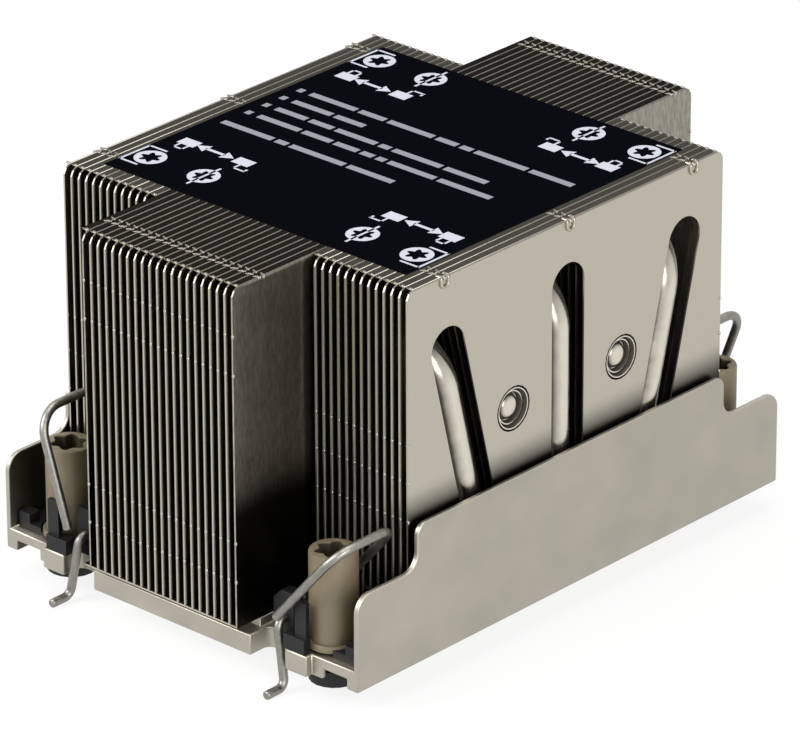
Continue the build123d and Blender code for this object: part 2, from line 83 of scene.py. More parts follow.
# The same for the dished collar, measured from the pipe's end
COLLAR_RINGS = ((-0.6, 3.58), (0.5, 3.58), (0.58, 3.54), (0.6, 3.44), (0.56, 3.34), (0.3, 3.22), (0.0, 3.12),
                (-0.6, 3.06))
# Each round along a fold: the way its side and its flat look, its radius and its segments
FOLD_ROUNDS = ((1, 1, 0.85, 8), (-1, -1, 0.55, 6), (-1, 1, 0.12, 2))
# Height above which a fin's long edges belong to its fold
FOLD_LOWEST = 62.0
# How much of a fin's end is painted brighter as a highlight, and how softly the painted dark reflection at
# the foot of an outer sheet fades out
END_GLINT, FOOT_FADE = 0.45, 7.0
# Heights of the crimps' rows down the ends of the long and of the side fins
LONG_EDGE_ROWS, SIDE_EDGE_ROWS = (55.8, 49.1, 20.0, 13.2), (37.6, 31.2, 24.4)
# Places along Y of the crimps' rows on top of them
LONG_TOP_ROWS, SIDE_TOP_ROWS = (-48.5, 50.5), (-29.5, 0.3, 30.6)
FILM_THICKNESS, INK_THICKNESS = 0.13, 0.018
# Place along Y of each row of bars on the label, with the two ends of each bar
LABEL_ROWS = {
    10.2: [(-30.6, -29.4), (-27.8, -17.6), (-16.8, -11.2), (-10.4, -0.6), (0.2, 4.6), (5.4, 7.8), (8.6, 19.6),
           (20.4, 29.4)],
    6.0: [(-30.6, -29.4), (-27.8, -19.2), (-18.4, -12.0)],
    1.9: [(-30.6, -29.4), (-27.8, -21.0), (-20.2, -15.2), (-14.4, -5.6), (-4.8, -2.6), (-1.8, 8.6),
          (9.4, 18.4)],
    -2.3: [(-30.6, -29.4), (-27.8, -18.6), (-17.8, -11.6), (-10.8, -5.8), (-5.0, -2.4), (-1.6, 0.2),
           (1.0, 11.0), (11.8, 23.0)],
    -7.9: [(-30.6, -19.4), (-18.6, -16.2), (-15.4, -3.6), (-2.8, 7.0)],
}
ROW_HALF = 0.7
# Places of the two discs in a corner of the label, and the ends along X and Y of the bars beside them
DISCS = ((29.0, 27.4), (17.3, 27.2))
CORNER_BARS = ((32.25, 32.7, 23.7, 31.1), (28.6, 32.6, 23.7, 24.15), (28.6, 32.6, 30.65, 31.1),
               (17.05, 17.5, 23.2, 31.2), (26.7, 30.3, 17.6, 20.0), (14.6, 18.2, 17.6, 20.0),
               (20.6, 24.8, 18.45, 19.15), (15.9, 16.3, 20.0, 21.8), (13.6, 16.3, 21.4, 21.8),
               (13.6, 14.0, 20.7, 21.6), (27.4, 27.8, 20.0, 21.8), (29.2, 29.6, 20.0, 21.8),
               (27.4, 29.6, 21.4, 21.8))
# How far all the corners' shapes stand back from the label's middle
SHAPES_LIFT = 0.9
# Radius, height and lobes of each ring of a nut, from the bore's end to the step below the barrel
NUT_FOOT = [(1.6, 9.8, 0), (1.6, -2.0, 0), (1.75, -2.18, 0), (2.95, -2.18, 0), (3.1, -2.0, 0), (3.1, 3.9, 0),
            (4.45, 3.9, 0), (4.6, 4.05, 0), (4.6, 4.9, 0), (4.45, 5.1, 0)]
SOCKET_DEPTH = 4.4


def linear(code):
    """An sRGB hex value as the linear colour that a shader takes."""
    channels = [int(code[i:i + 2], 16) / 255 for i in (1, 3, 5)]
    return [c / 12.92 if c <= 0.04045 else ((c + 0.055) / 1.055) ** 2.4 for c in channels]


def length(name, description, millimetres):
    return FloatProperty(name=name, description=description, default=millimetres * MM, unit="LENGTH")


def colour(name, description, code):
    return FloatVectorProperty(name=name, description=description, default=linear(code),
                               subtype="COLOR", size=3, min=0, max=1)


class HeatsinkSizes(bpy.types.PropertyGroup):
    """Sizes of the pieces that are modelled here."""
    fin_pitch: length("Fin pitch", "Distance from one fin to the next", 1.62)
    fin_top: length("Fin top", "Height of the folded tops above the underside", 64.0)
    long_fins: IntProperty(name="Long fins", description="Fins in the middle block", default=21)
    side_fins: IntProperty(name="Side fins", description="Fins in each side block", default=13)
    long_half: length("Long fin half length", "From the middle to a long fin's end", 55.1)
    side_half: length("Side fin half length", "From the middle to a side fin's end", 38.05)
    pipe_radius: length("Pipe radius", "Outer radius of the heat pipes", 3.0)
    pipe_bend: length("Pipe bend", "Radius of the pipes' bends", 9.0)
    pipe_leg_x: length("Pipe leg place", "Where the pipes' legs stand, from the middle", 33.9)
    nut_x: length("Nut place across", "From the middle to a nut's axis", 29.2)
    nut_y: length("Nut place along", "From the middle to a nut's axis", 46.4)
    nut_radius: length("Nut radius", "Outer radius of a nut's tall barrel", 4.0)
    nut_top: length("Nut top", "Height of the nuts' tops", 20.3)
    wire_radius: length("Wire radius", "Half of the wire's thickness", 0.75)
    flange_top: length("Flange top", "Height of the side flanges beside the fins", 23.4)
    axle_x: length("Wire axle place", "From the middle to a wire's axle", 22.0)
    axle_z: length("Wire axle height", "Height of a wire's axle", 7.3)
    label_half_x: length("Label half width", "Across the fins", 32.8)
    label_half_y: length("Label half length", "Along the fins", 33.2)


class HeatsinkColours(bpy.types.PropertyGroup):
    """Colours of the finishes."""
    base_nickel: colour("Base nickel", "Satin plate on the casting", "#ada89c")
    fin_nickel: colour("Fin nickel", "Plate on the rolled fins", "#b8b3a5")
    # The folded tops are painted this dark, as painted reflection of a dark studio; the rolling marks take
    # the same colour
    fin_top: colour("Fin tops", "Duller metal of the folded tops", "#1c1a17")
    pipe_nickel: colour("Pipe nickel", "Bright plate on the pipes", "#c6c1b4")
    copper: colour("Copper", "Bare ground copper", "#c07f5c")
    film: colour("Label film", "Black film", "#07080c")
    ink: colour("Label ink", "Pale ink of the shapes", "#b6b8c1")
    row_ink: colour("Row ink", "Dimmer ink of the rows of bars", "#85868d")
    nut: colour("Nut", "Natural tan plastic", "#6d624c")
    ring: colour("Ring", "Black plastic", "#141414")
    holder: colour("Holder", "Dark grey plastic", "#111112")
    wire: colour("Wire", "Drawn spring steel", "#8f8d86")
    floor: colour("Floor", "Pale studio floor", "#f4f4f2")


# Materials

# Most of a noise's values lie between these two
NOISE_LOW, NOISE_HIGH = 0.3, 0.7
# A Mix node's two colours and its result, by place, because other sockets share their names
FIRST, SECOND, MIXED = 6, 7, 2


def add_node(tree, kind, inputs=None, **settings):
    """One shader node, its settings, and its inputs as values or as sockets to link from."""
    made = tree.nodes.new(kind)
    for name, value in settings.items():
        setattr(made, name, value)
    for name, value in (inputs or {}).items():
        if isinstance(value, bpy.types.NodeSocket):
            tree.links.new(value, made.inputs[name])
        else:
            made.inputs[name].default_value = value
    return made


def new_material(name, **surface):
    """An empty material with one Principled shader; surface holds the shader's own fixed values."""
    material = bpy.data.materials.new(name)
    material.use_nodes = True
    tree = material.node_tree
    tree.nodes.clear()
    shader = add_node(tree, "ShaderNodeBsdfPrincipled")
    for key, value in surface.items():
        shader.inputs[key.replace("_", " ")].default_value = value
    output = add_node(tree, "ShaderNodeOutputMaterial")
    tree.links.new(shader.outputs["BSDF"], output.inputs["Surface"])
    return material, tree, shader


def opaque(rgb, amount=1.0):
    return [min(1.0, c * amount) for c in rgb] + [1.0]


def object_noise(tree, millimetres, stretch=(1, 1, 1), detail=4.0):
    """Noise whose cells are about the given size, on the piece's own coordinates in metres."""
    place = add_node(tree, "ShaderNodeTexCoord")
    turn = add_node(tree, "ShaderNodeMapping", {"Vector": place.outputs["Object"], "Scale": stretch})
    return add_node(tree, "ShaderNodeTexNoise", {
        "Vector": turn.outputs["Vector"], "Scale": 1 / (millimetres * MM), "Detail": detail})


def by_axis(tree, kind, output):
    """A point's place on its piece, or the way its face looks, split into the three axes."""
    source = add_node(tree, kind)
    return add_node(tree, "ShaderNodeSeparateXYZ", {"Vector": source.outputs[output]})


def layered(tree, tint, *layers):
    """A tint with other colours laid over it, each as far as its own mask says."""
    for mask, over in layers:
        mixed = add_node(tree, "ShaderNodeMix", {"Factor": mask, FIRST: tint, SECOND: over}, data_type="RGBA")
        tint = mixed.outputs[MIXED]
    return tint


def two_tone(tree, pattern, rgb, dark, light):
    """A colour that wanders between two strengths of itself, as the pattern goes."""
    share = add_node(tree, "ShaderNodeMapRange", {
        "Value": pattern.outputs["Fac"], "From Min": NOISE_LOW, "From Max": NOISE_HIGH})
    return layered(tree, opaque(rgb, dark), (share.outputs["Result"], opaque(rgb, light)))


def shine_and_relief(tree, shader, shine, smooth, rough, relief=None, height=0.0, strength=0.0):
    """Roughness between two values, and a relief with its height in millimetres, each from a pattern."""
    share = add_node(tree, "ShaderNodeMapRange", {
        "Value": shine.outputs["Fac"], "From Min": NOISE_LOW, "From Max": NOISE_HIGH,
        "To Min": smooth, "To Max": rough})
    tree.links.new(share.outputs["Result"], shader.inputs["Roughness"])
    if relief:
        bump = add_node(tree, "ShaderNodeBump", {
            "Height": relief.outputs["Fac"], "Distance": height * MM, "Strength": strength})
        tree.links.new(bump.outputs["Normal"], shader.inputs["Normal"])


def cast_nickel(colours):
    """Electroless nickel over a blasted casting: warm, satin and cloudy, with painted shade on the inner
    sides of the flanges.
    """
    material, tree, shader = new_material("electroless_nickel_on_casting", Metallic=1.0)
    nickel = colours.base_nickel
    clouds = object_noise(tree, 9.0)
    grit = object_noise(tree, 0.35, detail=2.0)
    where = by_axis(tree, "ShaderNodeTexCoord", "Object")
    facing = by_axis(tree, "ShaderNodeNewGeometry", "True Normal")
    # Far below zero on the inner sides of the flanges, which are painted dark there as painted shade and
    # painted reflection of the dark between the fins
    outward = add_node(tree, "ShaderNodeMath", {0: where.outputs["X"], 1: facing.outputs["X"]},
                       operation="MULTIPLY")
    inside = add_node(tree, "ShaderNodeMapRange", {
        "Value": outward.outputs["Value"], "From Min": -30 * MM, "From Max": -20 * MM,
        "To Min": 1.0, "To Max": 0.0})
    tint = layered(tree, two_tone(tree, clouds, nickel, 0.93, 1.06),
                   (inside.outputs["Result"], opaque(nickel, 0.3)))
    tree.links.new(tint, shader.inputs["Base Color"])
    shine_and_relief(tree, shader, clouds, 0.36, 0.48, grit, height=0.03, strength=0.35)
    return material


def rolled_fin_nickel(colours, name, between_fins, end_y=None, foot_z=None, painted_top_shade=1.0, grain=0.0):
    """Rolled sheet with a thin nickel plate: faint mottling, and folded tops painted dark as painted
    reflection, with no mirror on them.

    between_fins is how bright the flat sides are painted: low inside the stack, as painted shade.
    end_y is where the sheet ends along Y: the first half millimetre of a side there gets a painted highlight.
    foot_z is the height up to which the sheet is painted dark, as painted reflection of the flange's dark
    inner side before it.
    painted_top_shade is how dark the flats on top are painted, and grain how much the rolling marks show in
    the colour.
    """
    material, tree, shader = new_material(name, Metallic=1.0, Specular_IOR_Level=0.0)
    nickel = colours.fin_nickel
    clouds = object_noise(tree, 14.0)
    mottle = object_noise(tree, 4.0, stretch=(1, 1, 0.4), detail=2.0)
    where = by_axis(tree, "ShaderNodeTexCoord", "Object")
    facing = by_axis(tree, "ShaderNodeNewGeometry", "True Normal")
    sideways = add_node(tree, "ShaderNodeMath", {0: facing.outputs["X"]}, operation="ABSOLUTE")
    flat_side = add_node(tree, "ShaderNodeMapRange", {
        "Value": sideways.outputs["Value"], "From Min": 0.93, "From Max": 0.99})
    # Faces that look up are painted at half brightness, as painted shade
    on_bend = add_node(tree, "ShaderNodeMapRange", {
        "Value": facing.outputs["Z"], "From Min": 0.1, "From Max": 0.4})
    # The flat sides are painted darker by between_fins, as painted shade inside the stack
    side_tint = opaque(nickel, between_fins)
    if foot_z:
        # Painted reflection of the flange's dark inner side, fading out upward
        painted_foot_shade = add_node(tree, "ShaderNodeMapRange", {
            "Value": where.outputs["Z"], "From Min": foot_z, "From Max": foot_z + FOOT_FADE * MM,
            "To Min": 1.0, "To Max": 0.0}, interpolation_type="SMOOTHSTEP")
        side_tint = layered(tree, side_tint, (painted_foot_shade.outputs["Result"], opaque(nickel, 0.06)))
    if end_y:
        # Painted highlight on the first half millimetre of a side at the sheet's end
        along = add_node(tree, "ShaderNodeMath", {0: where.outputs["Y"]}, operation="ABSOLUTE")
        painted_end_glint = add_node(tree, "ShaderNodeMapRange", {
            "Value": along.outputs["Value"], "From Min": end_y - END_GLINT * MM,
            "From Max": end_y - 0.1 * MM})
        side_tint = layered(tree, side_tint, (painted_end_glint.outputs["Result"], opaque(nickel, 0.85)))
    tint = layered(tree, two_tone(tree, clouds, nickel, 0.95, 1.05),
                   (on_bend.outputs["Result"], opaque(nickel, 0.5)),
                   (flat_side.outputs["Result"], side_tint))
    if grain:
        marks = object_noise(tree, 0.45, stretch=(1, 1, 0.25), detail=3.0)
        worn = add_node(tree, "ShaderNodeMapRange", {
            "Value": marks.outputs["Fac"], "From Min": NOISE_LOW, "From Max": NOISE_HIGH, "To Max": grain})
        tint = layered(tree, tint, (worn.outputs["Result"], opaque(colours.fin_top)))
    if painted_top_shade:
        # The flats on top are painted dark and lose their mirror, as painted reflection of a dark studio
        flat_top = add_node(tree, "ShaderNodeMapRange", {
            "Value": facing.outputs["Z"], "From Min": 0.86, "From Max": 0.99, "To Max": painted_top_shade})
        tint = layered(tree, tint, (flat_top.outputs["Result"], opaque(colours.fin_top)))
        mirror = add_node(tree, "ShaderNodeMath", {0: 1.0, 1: flat_top.outputs["Result"]},
                          operation="SUBTRACT")
        # The painted highlight at the end also takes some mirror away
        if end_y:
            glint = add_node(tree, "ShaderNodeMath", {
                0: painted_end_glint.outputs["Result"], 1: flat_side.outputs["Result"]}, operation="MULTIPLY")
            mirror = add_node(tree, "ShaderNodeMath", {
                0: glint.outputs["Value"], 1: -0.6, 2: mirror.outputs["Value"]},
                operation="MULTIPLY_ADD", use_clamp=True)
        tree.links.new(mirror.outputs["Value"], shader.inputs["Metallic"])
    tree.links.new(tint, shader.inputs["Base Color"])
    shine_and_relief(tree, shader, mottle, 0.28, 0.33)
    return material


def bright_pipe_nickel(colours):
    """Polished copper tube under bright nickel: mirror-like and hand-marked, with dark and bright streaks of
    painted reflection, set by which way the surface faces.
    """
    material, tree, shader = new_material("bright_nickel_on_tube", Specular_IOR_Level=0.0)
    nickel = colours.pipe_nickel
    marks = object_noise(tree, 2.2)
    facing = by_axis(tree, "ShaderNodeNewGeometry", "Normal")
    sideways = add_node(tree, "ShaderNodeMath", {0: facing.outputs["X"]}, operation="ABSOLUTE")
    # The edge of a painted streak wavers a little with the marks
    waver = add_node(tree, "ShaderNodeMath", {
        0: marks.outputs["Fac"], 1: 0.08, 2: sideways.outputs["Value"]}, operation="MULTIPLY_ADD")
    # Painted highlight where the surface faces across, painted dark reflection elsewhere
    painted_streak = add_node(tree, "ShaderNodeMapRange", {
        "Value": waver.outputs["Value"], "From Min": 0.74, "From Max": 1.03})
    mirrors = add_node(tree, "ShaderNodeMapRange", {
        "Value": waver.outputs["Value"], "From Min": 0.7, "From Max": 0.84, "To Min": 0.25})
    tint = layered(tree, opaque(nickel, 0.12), (painted_streak.outputs["Result"], opaque(nickel, 1.15)))
    tree.links.new(tint, shader.inputs["Base Color"])
    tree.links.new(mirrors.outputs["Result"], shader.inputs["Metallic"])
    shine_and_relief(tree, shader, marks, 0.2, 0.28, marks, height=0.02, strength=0.2)
    return material


def ground_copper(colours):
    """Bare copper ground flat: pink-brown with fine lines one way."""
    material, tree, shader = new_material("ground_bare_copper", Metallic=1.0)
    lines = object_noise(tree, 0.5, stretch=(0.03, 1, 1), detail=3.0)
    tree.links.new(two_tone(tree, lines, colours.copper, 0.9, 1.08), shader.inputs["Base Color"])
    shine_and_relief(tree, shader, lines, 0.26, 0.4)
    return material


def black_film(colours):
    """Matt-coated polyester film: near black, with a faint sheen and almost no mirror image."""
    material, tree, shader = new_material("black_polyester_film", Specular_IOR_Level=0.0)
    grain = object_noise(tree, 0.4, detail=2.0)
    tree.links.new(two_tone(tree, grain, colours.film, 0.955, 1.095), shader.inputs["Base Color"])
    shine_and_relief(tree, shader, grain, 0.42, 0.52)
    return material


def screen_ink(name, rgb):
    """Screen-printed ink: flat pale grey-blue, a little uneven."""
    material, tree, shader = new_material(name, Specular_IOR_Level=0.0, Roughness=0.6)
    grain = object_noise(tree, 0.5, detail=2.0)
    tree.links.new(two_tone(tree, grain, rgb, 0.944, 0.976), shader.inputs["Base Color"])
    return material


def natural_peek(colours, name, light):
    """Unfilled tan engineering plastic, turned: soft gloss and faint turning rings.

    light is how bright the colour is painted, which is low inside the socket as painted shade.
    """
    material, tree, shader = new_material(name, Specular_IOR_Level=0.5 * light)
    clouds = object_noise(tree, 5.0)
    rings = object_noise(tree, 0.5, stretch=(0.05, 0.05, 1), detail=2.0)
    tint = two_tone(tree, clouds, colours.nut, 0.86 * light, 1.05 * light)
    tree.links.new(tint, shader.inputs["Base Color"])
    shine_and_relief(tree, shader, rings, 0.42, 0.54, rings, height=0.02, strength=0.25)
    return material


def moulded_plastic(name, rgb, rough):
    """Moulded nylon: dark, with the fine grain that spark-eroded tools leave."""
    material, tree, shader = new_material(name, Specular_IOR_Level=0.3)
    grain = object_noise(tree, 0.3, detail=2.0)
    tree.links.new(two_tone(tree, grain, rgb, 0.952, 1.048), shader.inputs["Base Color"])
    shine_and_relief(tree, shader, grain, rough - 0.06, rough + 0.06, grain, height=0.02, strength=0.3)
    return material


def drawn_steel(colours):
    """Drawn spring steel: grey, satin, with specks where the die dragged."""
    material, tree, shader = new_material("drawn_spring_steel", Metallic=1.0)
    specks = object_noise(tree, 0.8, detail=3.0)
    tree.links.new(two_tone(tree, specks, colours.wire, 0.82, 1.05), shader.inputs["Base Color"])
    shine_and_relief(tree, shader, specks, 0.36, 0.5, specks, height=0.015, strength=0.3)
    return material


def dress(node, material):
    """A CAD node keeps its shape and takes a better material."""
    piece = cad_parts[node]
    if not piece.material_slots:
        piece.data.materials.append(material)
    for place in piece.material_slots:
        place.material = material


# Mesh helpers

def to_piece(bm, name, body, material, replaces=(), sharp=38, bevel=0.0):
    """A finished mesh as an object at the origin that rides on a body."""
    bmesh.ops.recalc_face_normals(bm, faces=bm.faces[:])
    for face in bm.faces:
        face.smooth = True
    mesh = bpy.data.meshes.new(name)
    bm.to_mesh(mesh)
    bm.free()
    mesh.set_sharp_from_angle(angle=math.radians(sharp))
    mesh.materials.append(material)
    piece = bpy.data.objects.new(name, mesh)
    bpy.context.scene.collection.objects.link(piece)
    if bevel:
        edge = piece.modifiers.new("worn_edges", "BEVEL")
        edge.width = bevel
        edge.segments = 2
        edge.limit_method = "ANGLE"
        edge.angle_limit = math.radians(40)
    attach(piece, body)
    if replaces:
        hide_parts(*replaces)
    return piece


def merged(node):
    """A copy of a CAD node's mesh with its doubled corners joined and its flat faces whole."""
    bm = bmesh.new()
    bm.from_mesh(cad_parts[node].data)
    bmesh.ops.remove_doubles(bm, verts=bm.verts[:], dist=0.002 * MM)
    bmesh.ops.dissolve_limit(bm, angle_limit=math.radians(1), verts=bm.verts[:], edges=bm.edges[:])
    bm.normal_update()
    return bm


def soften(node, name, material, width):
    """A copy of a CAD node with small rounds along its sharp edges takes the node's place."""
    return to_piece(merged(node), name, "heatsink", material, [node], bevel=width)


def round_off(bm, edges, radius, segments):
    """Edges made round, or cut off flat where there is one segment."""
    bmesh.ops.bevel(bm, geom=edges, offset=radius, offset_type="OFFSET", segments=segments, profile=0.5,
                    affect="EDGES", material=-1)


def ring_at(bm, centre, axis, radius, sides):
    """A circle of edges round an axis."""
    turn = axis.to_track_quat("Z", "Y").to_matrix().to_4x4()
    made = bmesh.ops.create_circle(bm, segments=sides, radius=radius,
                                   matrix=Matrix.Translation(centre) @ turn)
    return list({edge for vert in made["verts"] for edge in vert.link_edges})


def run_on(bm, ring, step):
    """The ring is drawn out by a step, and its far end comes back."""
    made = bmesh.ops.extrude_edge_only(bm, edges=ring)["geom"]
    verts = [item for item in made if isinstance(item, bmesh.types.BMVert)]
    bmesh.ops.translate(bm, verts=verts, vec=step)
    moved = set(verts)
    return [item for item in made if isinstance(item, bmesh.types.BMEdge) and moved.issuperset(item.verts)]


def bent_rod(bm, corners, bends, radius, sides, steps):
    """A rod through corners with a round bend at each, left open; the rings at its two ends come back."""
    here = corners[0]
    ring = ring_at(bm, here, corners[1] - here, radius, sides)
    first = ring
    for before, corner, after, bend in zip(corners, corners[1:], corners[2:], bends):
        into = (corner - before).normalized()
        out = (after - corner).normalized()
        angle = into.angle(out)
        stop = corner - into * bend * math.tan(angle / 2)
        ring = run_on(bm, ring, stop - here)
        side = (out - into * into.dot(out)).normalized()
        verts = list({vert for edge in ring for vert in edge.verts})
        made = bmesh.ops.spin(bm, geom=verts + ring, cent=stop + side * bend,
                              axis=into.cross(out).normalized(), angle=angle, steps=steps,
                              use_merge=False, use_duplicate=False)
        ring = [item for item in made["geom_last"] if isinstance(item, bmesh.types.BMEdge)]
        here = corner + out * bend * math.tan(angle / 2)
    ring = run_on(bm, ring, corners[-1] - here)
    return first, ring


def close_end(bm, ring, rounding):
    """A flat cap, with its rim rounded where a radius is given."""
    bmesh.ops.contextual_create(bm, geom=ring)
    if rounding:
        round_off(bm, ring, rounding, segments=4)


def add_block(bm, low, high):
    """A box between two corners; its vertices come back."""
    size = high - low
    place = Matrix.Translation((low + high) / 2) @ Matrix.Diagonal((size.x, size.y, size.z, 1))
    return bmesh.ops.create_cube(bm, size=1, matrix=place)["verts"]


def mirrored(bm, corner):
    """A mesh drawn for the front right corner moved to another corner."""
    side_x, side_y = CORNERS[corner]
    bmesh.ops.scale(bm, vec=Vector((side_x, -side_y, 1)), verts=bm.verts[:])


# Operators

class HEATSINK_OT_base(bpy.types.Operator):
    """Give the casting its plate and the contact plate its ground copper"""
    bl_idname = "heatsink.base"
    bl_label = "Base"

    def execute(self, context):
        colours = context.scene.heatsink_colours
        soften("base_casting", "base_casting_plated", cast_nickel(colours), 0.22 * MM)
        dress("contact_plate", ground_copper(colours))
        return {"FINISHED"}


class HEATSINK_OT_pipes(bpy.types.Operator):
    """Model each heat pipe as a smooth tube with a domed tip and a flattened run"""
    bl_idname = "heatsink.pipes"
    bl_label = "Heat pipes"

    def execute(self, context):
        sizes = context.scene.heatsink_sizes
        material = bright_pipe_nickel(context.scene.heatsink_colours)
        for name, (side, foot, top, height) in PIPES.items():
            bm = bmesh.new()
            leg = side * sizes.pipe_leg_x
            end = Vector((-side * PIPE_END * MM, top * MM, height * MM))
            rim_centre = end + Vector((side * TIP_LENGTH * MM, 0, 0))
            corners = [Vector((leg, foot * MM, (FLAT_LOW + FLAT_HIGH) / 2 * MM)),
                       Vector((leg, top * MM, height * MM)), rim_centre]
            bottom, rim = bent_rod(bm, corners, [sizes.pipe_bend], sizes.pipe_radius, sides=40, steps=14)
            close_end(bm, bottom, 0)
            self.swaged_tip(bm, rim, rim_centre, -side)
            self.flattened_run(bm, foot * MM, sizes.pipe_leg_x)
            to_piece(bm, name + "_tube", "heatsink", material, [name])
            self.collar(name + "_collar", end, -side, material)
        return {"FINISHED"}

    def flattened_run(self, bm, y, leg_x):
        """The part of a pipe that is pressed flat into its groove in the base."""
        half = FLAT_HALF * MM
        reach = leg_x + half
        flat = add_block(bm, Vector((-reach, y - half, FLAT_LOW * MM)),
                         Vector((reach, y + half, FLAT_HIGH * MM)))
        upright = [edge for edge in {edge for vert in flat for edge in vert.link_edges}
                   if abs(edge.verts[0].co.z - edge.verts[1].co.z) > MM]
        # A little under the half width, so that the rounds of an end don't meet
        round_off(bm, upright, half * 0.995, segments=8)

    def collar(self, name, centre, way, material):
        """The dished collar that is drawn out of the outer fin round a pipe's end."""
        bm = bmesh.new()
        loops = []
        for onward, radius in COLLAR_RINGS:
            place = centre + Vector((way * onward * MM, 0, 0))
            loops.append(ring_at(bm, place, Vector((1, 0, 0)), radius * MM, sides=48))
        for lower, upper in zip(loops, loops[1:] + loops[:1]):
            bmesh.ops.bridge_loops(bm, edges=lower + upper)
        to_piece(bm, name, "heatsink", material)

    def swaged_tip(self, bm, rim, start, way):
        """The shoulder, the groove and the small dome where a pipe was filled and closed."""
        for onward, radius in TIP_RINGS:
            made = bmesh.ops.extrude_edge_only(bm, edges=rim)["geom"]
            verts = {item for item in made if isinstance(item, bmesh.types.BMVert)}
            for vert in verts:
                spoke = vert.co - start
                spoke.x = 0
                vert.co = start + spoke.normalized() * radius * MM + Vector((way * onward * MM, 0, 0))
            edges = [item for item in made if isinstance(item, bmesh.types.BMEdge)]
            rim = [edge for edge in edges if verts.issuperset(edge.verts)]
        bmesh.ops.contextual_create(bm, geom=rim)


class HEATSINK_OT_fins(bpy.types.Operator):
    """Round the folded edge of every fin and give the sheets their plate"""
    bl_idname = "heatsink.fins"
    bl_label = "Fins"

    def execute(self, context):
        sizes = context.scene.heatsink_sizes
        colours = context.scene.heatsink_colours
        # Lit and shaded copies of one nickel: sheets inside the stack are painted darker as shade, their ends
        # get a painted highlight, and the sheets seen whole get a painted dark reflection at their foot
        outer = rolled_fin_nickel(colours, "nickel_on_outer_sheet", 1.0,
                                  foot_z=sizes.flange_top, painted_top_shade=0.85)
        stepped = rolled_fin_nickel(colours, "nickel_on_stepped_sheet", 0.72,
                                    foot_z=sizes.flange_top + 0.6 * MM, grain=0.4)
        inner = rolled_fin_nickel(colours, "nickel_on_inner_sheet", 0.38, end_y=sizes.long_half)
        side = rolled_fin_nickel(colours, "nickel_on_side_sheet", 0.38, end_y=sizes.side_half, painted_top_shade=0.88)
        # The four sheets whose whole sides are seen
        in_view = {"fin_middle_01": stepped, "fin_middle_21": stepped,
                   "fin_left_13": outer, "fin_right_13": outer}
        for name in [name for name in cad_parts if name.startswith("fin_")]:
            bm = merged(name)
            for way, up, radius, segments in FOLD_ROUNDS:
                round_off(bm, self.fold_edges(bm, way, up), radius * MM, segments)
            material = in_view.get(name, inner if name.startswith("fin_middle") else side)
            to_piece(bm, f"{name}_sheet", "heatsink", material, [name], sharp=24)
        return {"FINISHED"}

    def fold_edges(self, bm, way, up):
        """The long edges near the top between a face that looks up or down and one that looks across."""
        found = []
        for edge in bm.edges:
            high = edge.verts[0].co.z > FOLD_LOWEST * MM
            if high and len(edge.link_faces) == 2 and edge.calc_length() > 20 * MM:
                normals = [face.normal for face in edge.link_faces]
                if any(n.z * up > 0.99 for n in normals) and any(n.x * way > 0.99 for n in normals):
                    found.append(edge)
        return found


